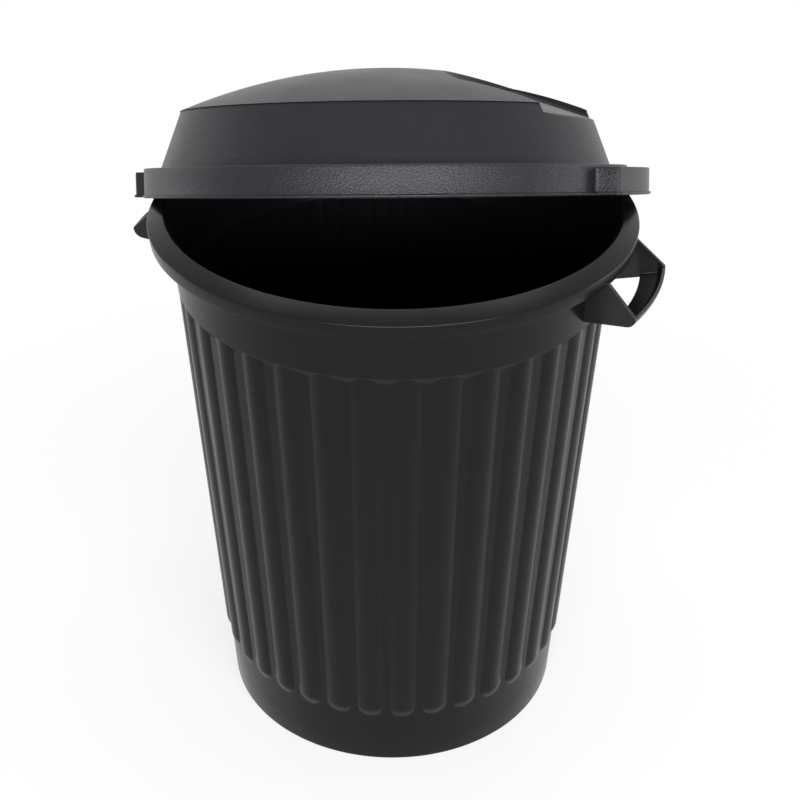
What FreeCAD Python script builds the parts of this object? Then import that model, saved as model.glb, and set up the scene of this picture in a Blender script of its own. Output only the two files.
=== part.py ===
import FreeCAD, Part
import math
import os
import Sketcher

# Trash can with a loose lid. Millimetres, +Z up, origin at the middle of the base's flat face.
# The two handles lie on +X and -X. The lid leans open on the rim, as it is photographed.

doc = FreeCAD.newDocument("trash_can")
sheet = doc.addObject("Spreadsheet::Sheet", "sizes")

# Driving sizes: alias, value, meaning
SIZES = [
    ("bin_height", 595.4, "floor to the top of the rim"),
    ("base_radius", 190.0, "outside of the wall at the floor, between the ribs"),
    ("base_edge", 5.0, "bevel of the base's edge"),
    ("draft_angle", 3.3, "lean of the wall from vertical, degrees"),
    ("wall", 3.0, "moulded wall thickness"),
    ("floor_thickness", 4.0, "thickness of the floor"),
    ("floor_corner", 9.0, "inside bevel between floor and wall"),
    ("rib_count", 35, "upright ribs round the wall"),
    ("rib_phase", -3.3, "turn of the first rib from the right handle, degrees"),
    ("rib_depth", 4.0, "how far a rib stands proud of the wall"),
    ("rib_width", 28.0, "width of a rib where it meets the wall"),
    ("rib_foot", 69.0, "height of the ribs' round lower ends"),
    ("relief_width", 18.0, "width of the relief behind a rib, inside the bin"),
    ("relief_depth", 2.0, "depth of that relief"),
    ("collar_depth", 78.6, "top of the rim down to the collar's lower edge"),
    ("collar_step", 8.0, "height of the sloped step between two ribs, under the collar"),
    ("collar_proud", 0.35, "how far the collar stands proud of the ribs"),
    ("mouth_flare", 3.32, "how far the rim's inside edge lies out from the collar's line"),
    ("mouth_lead", 10.4, "height of the sloped lead into the mouth"),
    ("rim_width", 18.0, "rim's inside edge out to its outside edge"),
    ("rim_drop", 9.0, "how far the rim's top slopes down to its outside edge"),
    ("lip_height", 14.3, "height of the turned-down lip"),
    ("lip_taper", 1.8, "how far the lip draws in at its lower edge"),
    ("handle_proud", 29.5, "how far a handle stands out from the rim's edge"),
    ("handle_spread", 12.6, "half the angle between a handle's two arms, degrees"),
    ("handle_wall", 3.5, "thickness of arms and grip"),
    ("handle_bottom", 70.4, "top of the rim down to the handle's underside, at the collar"),
    ("handle_rise", 10.0, "how far the handle's underside rises from collar to outside"),
    ("handle_corner", 9.4, "how far the rounding of the grip's lower corner reaches each way"),
    ("handle_land", 0.6, "straight wall of the grip above that rounding"),
    ("arm_inset", 0.4, "how far an arm's edges lie inside the grip's outside"),
    ("finger_gap", 30.0, "collar to the grip's inner edge, at the underside"),
    ("lid_clearance", 5.0, "rim's outside edge to the inside of the lid's skirt"),
    ("skirt_height", 30.1, "height of the lid's skirt"),
    ("skirt_edge", 1.5, "bevel of the skirt's upper edge"),
    ("bead_proud", 2.5, "how far the bead at the skirt's foot stands out"),
    ("bead_height", 2.2, "height of that bead"),
    ("ledge_width", 18.0, "flat step from the skirt in to the lid's cone"),
    ("cone_height", 59.7, "height of the lid's cone wall"),
    ("cone_draw", 22.5, "how far the cone wall draws in"),
    ("shoulder_edge", 2.5, "bevel between the lid's cone and dome"),
    ("dome_rise", 44.0, "shoulder up to the middle of the dome"),
    ("bay_depth", 23.0, "how far the lid's bays stand out of the skirt"),
    ("bay_spread", 13.7, "half the angle that a bay takes, degrees"),
    ("bay_drop", 3.0, "skirt's upper edge down to the bay's top"),
    ("hollow_width", 179.0, "width of the hand hollows in the dome"),
    ("hollow_start", 46.0, "lid axis to where the hollow's floor leaves the dome"),
    ("hollow_depth", 10.5, "shoulder down to the hollow's floor at the cone wall"),
    ("hollow_corner", 7.0, "rounding between the hollow's floor and its sides"),
    ("lean_angle", 23.3, "tilt of the lid from level, degrees"),
    ("lean_roll", -0.7, "sideways tilt of the lid, degrees"),
    ("lean_turn", 21.7, "turn of the tilt's axis from the handles' axis, degrees"),
    ("lean_cross", 33.3, "bin axis back to where the lid's foot passes the rim's edge"),
    ("lean_ride", 60.4, "from there back to the lid's own axis, along its foot"),
    ("seat_gap", 0.3, "clearance where the lid rests on the rim"),
    ("overrun", 12.0, "how far a cut runs past what it cuts"),
]
for row, (alias, value, meaning) in enumerate(SIZES, start=1):
    sheet.set(f"A{row}", alias)
    sheet.set(f"B{row}", str(value))
    sheet.set(f"C{row}", meaning)
    sheet.setAlias(f"B{row}", alias)
gauge = doc.addObject("Part::Vertex", "gauge")
doc.recompute()


def size(alias):
    """Read one driving size from the sheet."""
    return float(sheet.get(alias))


def bind(text):
    """Write the aliases in a formula as references to the sheet."""
    words = []
    word = ""
    for mark in text + " ":
        if mark.isalpha() or mark == "_":
            word += mark
            continue
        if word:
            words.append(f"sizes.{word}" if word in ALIASES else word)
            word = ""
        words.append(mark)
    return "".join(words).strip()


ALIASES = {alias for alias, value, meaning in SIZES}

# Formulas that several outlines share, in aliases
SLOPE = "tan(draft_angle * 1 deg)"
COLLAR_Z = "(bin_height - collar_depth)"
STEP_Z = "(bin_height - collar_depth - collar_step)"
LIP_Z = "(bin_height - rim_drop - lip_height)"
RIM_EDGE_Z = "(bin_height - rim_drop)"
LEAD_Z = "(bin_height - mouth_lead)"
COLLAR_HEAD = "(base_radius + bin_height * tan(draft_angle * 1 deg) + rib_depth + collar_proud)"
MOUTH_RADIUS = f"({COLLAR_HEAD} + mouth_flare)"
RIM_RADIUS = f"({MOUTH_RADIUS} + rim_width)"
SKIRT_RADIUS = f"({RIM_RADIUS} + lid_clearance + wall)"
CONE_FOOT = f"({SKIRT_RADIUS} - ledge_width)"
CONE_HEAD = f"({CONE_FOOT} - cone_draw)"
SHOULDER_Z = "(skirt_height + cone_height)"
BAY_RADIUS = f"({SKIRT_RADIUS} + bay_depth)"
BAY_TOP = "(skirt_height - bay_drop)"
RIM_SLOPE = "(rim_drop / rim_width)"
RIM_SKIN = "(wall * sqrt(1 + (rim_drop / rim_width) ^ 2))"
DOME_RADIUS = f"(({CONE_HEAD} ^ 2 + dome_rise ^ 2) / (2 * dome_rise))"
DOME_CENTRE = f"({SHOULDER_Z} + dome_rise - {DOME_RADIUS})"
CONE_INSET = "(wall * sqrt(1 + (cone_draw / cone_height) ^ 2) - wall * cone_draw / cone_height)"
HOLLOW_END = f"({CONE_HEAD} + hollow_depth * cone_draw / cone_height)"


def wall_radius(height, extra="0"):
    """Formula for the drafted wall's outside radius at a height, plus something."""
    return f"(base_radius + {extra} + ({height}) * {SLOPE})"


def collar_radius(height):
    """Formula for the collar's outside radius at a height."""
    return wall_radius(height, "rib_depth + collar_proud")


def rim_level(reach, depth):
    """Formula for the height of the sloped rim's top at a radius, less a depth below it."""
    return f"(bin_height - ({reach} - {MOUTH_RADIUS}) * {RIM_SLOPE} - {depth})"


def origin_plane(body, role):
    """Find one of a body's own origin planes or axes."""
    return [item for item in body.Origin.OriginFeatures if item.Role == role][0]


def value_of(formula):
    """Work out a formula as a plain number, with a point whose X it sets."""
    gauge.setExpression("X", bind(formula))
    gauge.recompute()
    return gauge.X.Value


def hold_point(sketch, geometry, end, corner):
    """Hold a sketch point at a place given by two formulas."""
    for kind, axis, formula in (("DistanceX", -2, corner[0]), ("DistanceY", -1, corner[1])):
        if formula == "0":
            sketch.addConstraint(Sketcher.Constraint("PointOnObject", geometry, end, axis))
            continue
        held = Sketcher.Constraint(kind, -1, 1, geometry, end, value_of(formula))
        index = sketch.addConstraint(held)
        sketch.setExpression(f"Constraints[{index}]", bind(formula))


def arc_middle(start, end, radius, side):
    """Point halfway along the short arc between two points; side is +1 left or -1 right."""
    chord = end - start
    half = chord.Length / 2
    reach = math.sqrt(max(radius * radius - half * half, 0))
    normal = FreeCAD.Vector(-chord.y, chord.x, 0).normalize()
    return (start + end) / 2 + normal * side * (radius - reach)


def draw_outline(sketch, corners):
    """Draw a closed outline. A corner is (x, y) or (x, y, radius, side) where an arc follows it."""
    points = []
    for corner in corners:
        points.append(FreeCAD.Vector(value_of(corner[0]), value_of(corner[1]), 0))
    starts = []
    ends = []
    for index, corner in enumerate(corners):
        start = points[index]
        end = points[(index + 1) % len(points)]
        if len(corner) == 2:
            edge = sketch.addGeometry(Part.LineSegment(start, end), False)
            starts.append((edge, 1))
            ends.append((edge, 2))
            continue
        middle = arc_middle(start, end, value_of(corner[2]), corner[3])
        edge = sketch.addGeometry(Part.Arc(start, middle, end), False)
        forward = (sketch.getPoint(edge, 1) - start).Length < (sketch.getPoint(edge, 2) - start).Length
        starts.append((edge, 1 if forward else 2))
        ends.append((edge, 2 if forward else 1))
    for index, corner in enumerate(corners):
        before = ends[index - 1]
        sketch.addConstraint(Sketcher.Constraint("Coincident", *before, *starts[index]))
        hold_point(sketch, *starts[index], corner)
        if len(corner) == 4:
            radius = value_of(corner[2])
            held = sketch.addConstraint(Sketcher.Constraint("Radius", starts[index][0], radius))
            sketch.setExpression(f"Constraints[{held}]", bind(corner[2]))


def new_sketch(body, name, role="XZ_Plane", turn=None):
    """Attach a sketch to one of the body's origin planes, turned about the body's Z axis."""
    sketch = body.newObject("Sketcher::SketchObject", name)
    sketch.AttachmentSupport = (origin_plane(body, role), [""])
    sketch.MapMode = "FlatFace"
    if turn is not None:
        # Z is the second axis of an upright sketch
        upright = FreeCAD.Vector(0, 1, 0)
        angle = value_of(turn)
        sketch.AttachmentOffset = FreeCAD.Placement(FreeCAD.Vector(), FreeCAD.Rotation(upright, angle))
        sketch.setExpression("AttachmentOffset.Rotation.Angle", bind(f"({turn}) * 1 deg"))
    return sketch


def revolve(body, kind, name, corners, angle=None, turn=None):
    """Revolve an outline about the body's Z axis, or take it away, all round or by an angle."""
    sketch = new_sketch(body, f"{name}_outline", turn=turn)
    draw_outline(sketch, corners)
    feature = body.newObject(f"PartDesign::{kind}", name)
    feature.Profile = sketch
    feature.ReferenceAxis = (sketch, ["V_Axis"])
    feature.Angle = 360
    if angle is not None:
        feature.Midplane = True
        feature.setExpression("Angle", bind(f"({angle}) * 1 deg"))
    sketch.Visibility = False
    return feature


def ring_of(body, feature):
    """Repeat one rib or relief round the body's Z axis."""
    pattern = body.newObject("PartDesign::PolarPattern", f"{feature.Name}_ring")
    pattern.Originals = [feature]
    pattern.Axis = (origin_plane(body, "Z_Axis"), [""])
    pattern.Angle = 360
    pattern.setExpression("Occurrences", bind("rib_count"))
    body.Tip = pattern


def add_ribs(body):
    """The ribs: round-ended bars that lie along the drafted wall, turned on their own axes."""
    sketch = new_sketch(body, "rib_outline", turn="rib_phase")
    flat = "(8 * rib_depth / rib_width ^ 2)"
    round_wall = f"(1 / {wall_radius(COLLAR_Z)})"
    bar = f"(1 / ({flat} + {round_wall}))"
    lean = "draft_angle * 1 deg"
    foot_z = "(rib_foot + rib_width / 2)"
    head_z = f"({COLLAR_Z} + collar_step / 2)"

    def axis_x(height):
        return f"({wall_radius(height, 'rib_depth')} - {bar} / cos({lean}))"

    side_x = f"{bar} * cos({lean})"
    side_z = f"{bar} * sin({lean})"
    draw_outline(sketch, [
        (axis_x(head_z), head_z),
        (f"{axis_x(head_z)} + {side_x}", f"{head_z} - {side_z}"),
        (f"{axis_x(foot_z)} + {side_x}", f"{foot_z} - {side_z}", bar, -1),
        (f"{axis_x(foot_z)} - {side_z}", f"{foot_z} - {side_x}"),
    ])
    first = sketch.getPoint(0, 1)
    last = sketch.getPoint(3, 1)
    axis = sketch.addGeometry(Part.LineSegment(last, first), True)
    sketch.addConstraint(Sketcher.Constraint("Coincident", axis, 2, 0, 1))
    sketch.addConstraint(Sketcher.Constraint("Coincident", axis, 1, 3, 1))
    rib = body.newObject("PartDesign::Revolution", "rib")
    rib.Profile = sketch
    rib.ReferenceAxis = (sketch, ["Axis0"])
    rib.Angle = 360
    ring_of(body, rib)


def add_reliefs(body):
    """Shallow flat-bottomed reliefs behind the ribs, which keep the wall near one thickness."""
    sketch = new_sketch(body, "relief_outline", turn="rib_phase")
    foot_z = "(rib_foot + rib_width / 2)"
    draw_outline(sketch, [
        (f"{wall_radius(foot_z)} - wall - overrun", foot_z),
        (f"{wall_radius(foot_z)} - wall + relief_depth", foot_z),
        (f"{wall_radius(STEP_Z)} - wall + relief_depth", STEP_Z),
        (f"{wall_radius(STEP_Z)} - wall - overrun", STEP_Z),
    ])
    relief = body.newObject("PartDesign::Pocket", "relief")
    relief.Profile = sketch
    relief.Midplane = True
    relief.setExpression("Length", bind("relief_width"))
    ring_of(body, relief)


# The tub: a drafted wall with a smooth collar, a sloped rim and a turned-down lip
tub = doc.addObject("PartDesign::Body", "bin_tub")
tub.Label = "bin_tub"
revolve(tub, "Revolution", "tub_outside", [
    ("0", "0"),
    ("base_radius - base_edge", "0"),
    (wall_radius("base_edge"), "base_edge"),
    (wall_radius(STEP_Z), STEP_Z),
    (collar_radius(COLLAR_Z), COLLAR_Z),
    (collar_radius(LEAD_Z), LEAD_Z),
    (f"{MOUTH_RADIUS} + wall / 2", rim_level(f"({MOUTH_RADIUS} + wall / 2)", RIM_SKIN)),
    (f"{RIM_RADIUS} - wall", rim_level(f"({RIM_RADIUS} - wall)", RIM_SKIN)),
    (f"{RIM_RADIUS} - lip_taper - wall", LIP_Z),
    (f"{RIM_RADIUS} - lip_taper", LIP_Z),
    (RIM_RADIUS, RIM_EDGE_Z),
    (MOUTH_RADIUS, "bin_height"),
    ("0", "bin_height"),
])
add_ribs(tub)
revolve(tub, "Groove", "tub_inside", [
    ("0", "floor_thickness"),
    ("base_radius - wall - floor_corner", "floor_thickness"),
    (f"{wall_radius('floor_thickness + floor_corner')} - wall", "floor_thickness + floor_corner"),
    (f"{wall_radius(STEP_Z)} - wall", f"{STEP_Z} + wall / 2"),
    (f"{collar_radius(COLLAR_Z)} - wall", f"{COLLAR_Z} + wall / 2"),
    (f"{collar_radius(LEAD_Z)} - wall", LEAD_Z),
    (MOUTH_RADIUS, "bin_height"),
    (MOUTH_RADIUS, "bin_height + overrun"),
    ("0", "bin_height + overrun"),
])
add_reliefs(tub)
doc.recompute()


# A handle's underside rises in a straight line from the collar to the grip's round corner
HANDLE_Z = "(bin_height - handle_bottom)"
HANDLE_REACH = f"({RIM_RADIUS} + handle_proud)"
HANDLE_RUN = f"({HANDLE_REACH} - {collar_radius(HANDLE_Z)})"
HANDLE_LINE = f"sqrt({HANDLE_RUN} ^ 2 + handle_rise ^ 2)"
RISE_SINE = f"(handle_rise / {HANDLE_LINE})"
RISE_COSINE = f"({HANDLE_RUN} / {HANDLE_LINE})"
BEND_RADIUS = f"(handle_corner * {RISE_COSINE} / (1 - {RISE_SINE}))"
BEND_Z = f"({HANDLE_Z} + handle_rise + handle_corner)"
TIP_Z = f"({BEND_Z} + handle_land)"


def underside(reach):
    """Formula for the height of a handle's underside at a radius."""
    return f"({HANDLE_Z} + handle_rise * ({reach} - {collar_radius(HANDLE_Z)}) / {HANDLE_RUN})"


def bend_start(inset):
    """Where the grip's round corner starts, moved in from the underside by a distance."""
    reach = f"{HANDLE_REACH} - handle_corner * {RISE_COSINE} - {inset} * {RISE_SINE}"
    level = f"{HANDLE_Z} + handle_rise - handle_corner * {RISE_SINE} + {inset} * {RISE_COSINE}"
    return reach, level


def grip_outline():
    """Section of a handle's grip: an upright outer wall, a round corner and an inward flange."""
    inner = f"({collar_radius(HANDLE_Z)} + finger_gap)"
    bend = f"({BEND_RADIUS} - handle_wall)"
    return [
        (inner, underside(inner)),
        (*bend_start("0"), BEND_RADIUS, -1),
        (HANDLE_REACH, BEND_Z),
        (HANDLE_REACH, TIP_Z),
        (f"{HANDLE_REACH} - handle_wall", TIP_Z),
        (f"{HANDLE_REACH} - handle_wall", BEND_Z),
        (f"{HANDLE_REACH} - {BEND_RADIUS} + {bend} * sqrt((1 + {RISE_SINE}) / 2)",
         f"{BEND_Z} - {bend} * sqrt((1 - {RISE_SINE}) / 2)"),
        bend_start("handle_wall"),
        (inner, f"{underside(inner)} + handle_wall / {RISE_COSINE}"),
    ]


def arm_outline():
    """Outline of a handle's arm, from the collar and the rim's hollow out to the grip's corner."""
    foot = f"({collar_radius(HANDLE_Z)} - wall / 2)"
    return [
        (foot, f"{underside(foot)} + arm_inset / {RISE_COSINE}"),
        (*bend_start("arm_inset"), f"{BEND_RADIUS} - arm_inset", -1),
        (f"{HANDLE_REACH} - arm_inset", BEND_Z),
        (f"{HANDLE_REACH} - arm_inset", f"{TIP_Z} - arm_inset"),
        (f"{RIM_RADIUS} - lip_taper - wall / 2", f"{LIP_Z} + wall"),
        (f"{RIM_RADIUS} - wall / 2", rim_level(f"({RIM_RADIUS} - wall / 2)", f"{RIM_SKIN} / 2")),
        (f"{MOUTH_RADIUS} + wall / 2", rim_level(f"({MOUTH_RADIUS} + wall / 2)", f"{RIM_SKIN} / 2")),
        (f"{collar_radius(LEAD_Z)} - wall / 2", LEAD_Z),
    ]


def make_handle(name, turn):
    """A fixed handle: two radial arms under the rim, joined by a curved grip."""
    body = doc.addObject("PartDesign::Body", f"{name}_blank")
    revolve(body, "Revolution", f"{name}_grip", grip_outline(), "handle_spread * 2", turn)
    for arm, side in (("front", "-"), ("back", "+")):
        sketch = new_sketch(body, f"{name}_{arm}_outline", turn=f"{turn} {side} handle_spread")
        draw_outline(sketch, arm_outline())
        plate = body.newObject("PartDesign::Pad", f"{name}_{arm}_arm")
        plate.Profile = sketch
        plate.Midplane = True
        plate.setExpression("Length", bind("handle_wall"))
        sketch.Visibility = False
    handle = doc.addObject("Part::Cut", name)
    handle.Base = body
    handle.Tool = tub
    handle.Label = name
    return handle


# The handles end face to face on the tub's collar and rim
handle_right = make_handle("handle_right", "0")
handle_left = make_handle("handle_left", "180")


def dome_height(reach, inset="0"):
    """Formula for the dome's height at a distance from the lid's axis, inset by a thickness."""
    return f"({DOME_CENTRE} + sqrt(({DOME_RADIUS} - {inset}) ^ 2 - ({reach}) ^ 2))"


# The lid, in its own frame: origin at the middle of its foot, bays on +X and -X
lid_skin = doc.addObject("PartDesign::Body", "lid_skin")
edge_x = f"({CONE_HEAD} - shoulder_edge)"
revolve(lid_skin, "Revolution", "lid_outside", [
    ("0", "0"),
    (f"{SKIRT_RADIUS} + bead_proud", "0"),
    (f"{SKIRT_RADIUS} + bead_proud", "bead_height"),
    (SKIRT_RADIUS, "bead_height + bead_proud / 3"),
    (SKIRT_RADIUS, "skirt_height - skirt_edge"),
    (f"{SKIRT_RADIUS} - skirt_edge", "skirt_height"),
    (CONE_FOOT, "skirt_height"),
    (f"{CONE_HEAD} + shoulder_edge * cone_draw / cone_height", f"{SHOULDER_Z} - shoulder_edge"),
    (edge_x, dome_height(edge_x), DOME_RADIUS, -1),
    ("0", f"{SHOULDER_Z} + dome_rise"),
])
lid_space = doc.addObject("PartDesign::Body", "lid_space")
inner_x = f"({CONE_HEAD} - {CONE_INSET})"
ledge_z = "(skirt_height - wall)"
dome_steps = [(reach, dome_height(reach, "wall")) for reach in (f"({inner_x} * 2 / 3)", f"({inner_x} / 3)")]
revolve(lid_space, "Revolution", "lid_inside", [
    ("0", "0 - overrun"),
    (f"{SKIRT_RADIUS} - wall", "0 - overrun"),
    (f"{SKIRT_RADIUS} - wall", ledge_z),
    (f"{CONE_FOOT} - {CONE_INSET}", ledge_z),
    (inner_x, dome_height(inner_x, "wall")),
    *dome_steps,
    ("0", f"{SHOULDER_Z} + dome_rise - wall"),
])
for side, turn in (("right", "0"), ("left", "180")):
    bay_wall = [
        (f"{SKIRT_RADIUS} - wall / 2", "0"),
        (BAY_RADIUS, "0"),
        (BAY_RADIUS, f"{BAY_TOP} - skirt_edge"),
        (f"{BAY_RADIUS} - skirt_edge", BAY_TOP),
        (f"{SKIRT_RADIUS} - wall / 2", BAY_TOP),
    ]
    bay_bead = [
        (f"{SKIRT_RADIUS} - wall / 2", "0"),
        (f"{BAY_RADIUS} + bead_proud", "0"),
        (f"{BAY_RADIUS} + bead_proud", "bead_height"),
        (f"{SKIRT_RADIUS} - wall / 2", "bead_height"),
    ]
    bay_space = [
        (f"{SKIRT_RADIUS} - wall * 2", "0 - overrun"),
        (f"{BAY_RADIUS} - wall", "0 - overrun"),
        (f"{BAY_RADIUS} - wall", f"{BAY_TOP} - wall"),
        (f"{SKIRT_RADIUS} - wall * 2", f"{BAY_TOP} - wall"),
    ]
    wide = f"2 * (bay_spread + bead_proud / {BAY_RADIUS} * 180 / pi)"
    narrow = f"2 * (bay_spread - wall / {BAY_RADIUS} * 180 / pi)"
    revolve(lid_skin, "Revolution", f"bay_{side}", bay_wall, "bay_spread * 2", turn)
    revolve(lid_skin, "Revolution", f"bay_{side}_bead", bay_bead, wide, turn)
    revolve(lid_space, "Revolution", f"bay_{side}_space", bay_space, narrow, turn)


def round_floor_edges(body, pad):
    """Round the two long edges where a hollow's floor meets its sides."""
    doc.recompute()
    names = []
    for number, edge in enumerate(pad.Shape.Edges, start=1):
        along = edge.Vertexes[-1].Point - edge.Vertexes[0].Point
        if min(abs(along.x), abs(along.z)) > size("hollow_corner"):
            names.append(f"Edge{number}")
    fillet = body.newObject("PartDesign::Fillet", f"{pad.Name}_round")
    fillet.Base = (pad, names)
    fillet.setExpression("Radius", bind("hollow_corner"))


def hollow_block(name, turn, grown):
    """The space of one hand hollow, or that space grown by the wall's thickness."""
    body = doc.addObject("PartDesign::Body", name)
    sketch = new_sketch(body, f"{name}_outline", turn=turn)
    drop = f"({dome_height('hollow_start')} - ({SHOULDER_Z} - hollow_depth))"
    run = f"({HOLLOW_END} - hollow_start)"
    sink = f"({grown} * sqrt(1 + ({drop} / {run}) ^ 2))"
    far = f"({HOLLOW_END} + overrun)"
    far_z = f"({SHOULDER_Z} - hollow_depth - overrun * {drop} / {run} - {sink})"
    near = f"(hollow_start - {grown})"
    near_z = f"({dome_height('hollow_start')} + {grown} * {drop} / {run} - {sink})"
    sky = f"({SHOULDER_Z} + dome_rise + overrun)"
    draw_outline(sketch, [(near, near_z), (far, far_z), (far, sky), (near, sky)])
    pad = body.newObject("PartDesign::Pad", f"{name}_pad")
    pad.Profile = sketch
    pad.Midplane = True
    pad.setExpression("Length", bind(f"hollow_width + 2 * {grown}"))
    sketch.Visibility = False
    if grown == "0":
        round_floor_edges(body, pad)
    return body


def cut(name, base, tools):
    """Cut one object, or several, out of another."""
    result = doc.addObject("Part::Cut", name)
    result.Base = base
    if len(tools) == 1:
        result.Tool = tools[0]
        return result
    joined = doc.addObject("Part::MultiFuse", f"{name}_tools")
    joined.Shapes = tools
    result.Tool = joined
    return result


hollows = [hollow_block("hollow_right", "0", "0"), hollow_block("hollow_left", "180", "0")]
backs = [hollow_block("hollow_right_back", "0", "wall"), hollow_block("hollow_left_back", "180", "wall")]
lid_cavity = cut("lid_cavity", lid_space, backs)
lid_open = cut("lid_open", lid_skin, hollows)
lid = cut("lid", lid_open, [lid_cavity])
lid.Label = "lid"
doc.recompute()


def lid_turn():
    """Rotation of the leaning lid: a tilt and a small roll about an axis near the handles."""
    turn = FreeCAD.Rotation(FreeCAD.Vector(0, 0, 1), size("lean_turn"))
    tilt = FreeCAD.Rotation(FreeCAD.Vector(1, 0, 0), -size("lean_angle"))
    roll = FreeCAD.Rotation(FreeCAD.Vector(0, 1, 0), size("lean_roll"))
    return turn.multiply(roll).multiply(tilt).multiply(turn.inverted())


def lid_centre(shift):
    """Place of the lid's foot centre, for a sideways shift along the axis it tilts about."""
    tilt = math.radians(size("lean_angle"))
    edge_z = size("bin_height") - size("rim_drop")
    back = size("lean_cross") + size("lean_ride") * math.cos(tilt)
    place = FreeCAD.Vector(shift, back, edge_z - size("lean_ride") * math.sin(tilt))
    return FreeCAD.Rotation(FreeCAD.Vector(0, 0, 1), size("lean_turn")).multVec(place)


HALF_DEGREES = range(-90, 181)
HALVINGS = 40


RIM_EDGE = value_of(RIM_RADIUS)


def rim_clearance(shift):
    """Least distance from the rim's right-hand edges to the inside of the lid's skirt and ledge."""
    turn_back = lid_turn().inverted()
    centre = lid_centre(shift)
    skirt = RIM_EDGE + size("lid_clearance")
    bay = skirt + size("bay_depth")
    cone = skirt - size("ledge_width")
    edge_z = size("bin_height") - size("rim_drop")
    rings = [(RIM_EDGE, edge_z), (RIM_EDGE - size("lip_taper"), edge_z - size("lip_height"))]
    least = bay
    for radius, height in rings:
        for step in HALF_DEGREES:
            angle = math.radians(size("lean_turn") + step / 2)
            point = FreeCAD.Vector(radius * math.cos(angle), radius * math.sin(angle), height)
            local = turn_back.multVec(point - centre)
            if local.z < 0:
                continue
            around = abs(math.degrees(math.atan2(local.y, local.x)))
            limit = bay if around < size("bay_spread") - math.degrees(size("wall") / bay) else skirt
            if local.z > size("skirt_height") - size("wall"):
                limit = cone - (local.z - size("skirt_height")) * size("cone_draw") / size("cone_height")
            least = min(least, limit - math.hypot(local.x, local.y))
    return least


def seat_shift():
    """Slide the lid sideways until its skirt clears the rim by the seat's gap."""
    low = -RIM_EDGE
    high = RIM_EDGE
    for halving in range(HALVINGS):
        middle = (low + high) / 2
        if rim_clearance(middle) > size("seat_gap"):
            high = middle
        else:
            low = middle
    return high


lid.Placement = FreeCAD.Placement(lid_centre(seat_shift()), lid_turn())
doc.removeObject(gauge.Name)
doc.recompute()

NODES = [tub, handle_right, handle_left, lid]
for item in doc.Objects:
    if "Invalid" in item.State or "Error" in item.State:
        raise RuntimeError(f"{item.Name} failed: {item.State}")
for item in NODES:
    if item.Shape.isNull() or not item.Shape.isValid():
        raise RuntimeError(f"{item.Label} has no valid shape")
os.makedirs("parts", exist_ok=True)
for item in NODES:
    item.Shape.exportStep(f"parts/{item.Label}.step")
    print(item.Label, round(item.Shape.Volume), len(item.Shape.Solids), len(item.Shape.Faces))
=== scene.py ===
"""Trash can with a loose domed lid, dressed for rendering.

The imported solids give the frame. The tub, its two handles and the lid are rebuilt here as fine
meshes with soft edges, from the same driving sizes as the solids, and they ride on the same bodies.
Only the lid goes further than its solid: its hand hollows have an end wall, a level outer edge and
a tighter corner, and the sides of its bays run along the handles' axis.
Shapes are worked out in millimetres, and become metres when a mesh is made.
"""
import logging
import math
from dataclasses import dataclass
from enum import Enum
from functools import partial
from typing import Callable, NamedTuple

import bmesh
import bpy
from mathutils import Matrix, Vector


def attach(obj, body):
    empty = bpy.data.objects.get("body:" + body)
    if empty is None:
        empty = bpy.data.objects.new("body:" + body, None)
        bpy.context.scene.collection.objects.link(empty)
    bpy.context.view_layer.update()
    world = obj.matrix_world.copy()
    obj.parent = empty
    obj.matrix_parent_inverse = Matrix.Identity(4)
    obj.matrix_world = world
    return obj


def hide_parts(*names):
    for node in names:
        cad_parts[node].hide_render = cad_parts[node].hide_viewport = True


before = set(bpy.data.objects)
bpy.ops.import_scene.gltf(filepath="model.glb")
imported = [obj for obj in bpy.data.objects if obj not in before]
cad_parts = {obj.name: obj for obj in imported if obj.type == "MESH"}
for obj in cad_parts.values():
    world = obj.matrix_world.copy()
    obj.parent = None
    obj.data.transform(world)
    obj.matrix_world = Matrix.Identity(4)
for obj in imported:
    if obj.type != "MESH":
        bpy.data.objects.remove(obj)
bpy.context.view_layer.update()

log = logging.getLogger("trash_can")

MM = 0.001
# Points of a mesh that lie nearer than this, in millimetres, are one
WELD = 0.01
# Halvings that find a root as exactly as a number can hold it
HALVINGS = 48
# An outline's corner that turns by less than this, in degrees, stays as it is
LEAST_TURN = 2.0
# Share of a stretch that a round corner may take up, where the stretch ends in another round
# corner and where it ends in a sharp one
SHARED_ROOM = 0.49
OWN_ROOM = 0.99

# A place in space, a place on an outline as radius and height, and such a place with its rounding
Point = tuple[float, float, float]
Spot = tuple[float, float]
Corner = tuple[float, float, float]


class Slot(Enum):
    """The record's material slots."""

    TUB = "tub_plastic"
    HANDLE = "handle_plastic"
    LID = "lid_plastic"


class Side(Enum):
    """The two handles: node name and turn from the right-hand side, in degrees."""

    RIGHT = ("handle_right", 0.0)
    LEFT = ("handle_left", 180.0)

    @property
    def node(self) -> str:
        """Name of the handle's solid."""
        return self.value[0]

    @property
    def turn(self) -> float:
        """Turn of the handle about the bin's axis, in radians."""
        return math.radians(self.value[1])


def polar(radius: float, azimuth: float, height: float) -> Point:
    """Place a point by cylinder coordinates.

    Args:
        radius: Distance from the Z axis, in millimetres.
        azimuth: Angle from +X, in radians.
        height: Height, in millimetres.

    Returns:
        The point's x, y and z.
    """
    return (radius * math.cos(azimuth), radius * math.sin(azimuth), height)


def swept(outline: list[Spot], azimuths: list[float]) -> list[list[Point]]:
    """Sweep an outline about the Z axis.

    Args:
        outline: Its points, as radius and height.
        azimuths: Where the copies stand, in radians.

    Returns:
        One row of points for each point of the outline.
    """
    return [[polar(radius, azimuth, z) for azimuth in azimuths] for radius, z in outline]


def blend(start: float, end: float, share: float) -> float:
    """Go a share of the way from one number to another.

    Args:
        start: Value at share 0.
        end: Value at share 1.
        share: How far to go.

    Returns:
        The value between them.
    """
    return start + (end - start) * share


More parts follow.
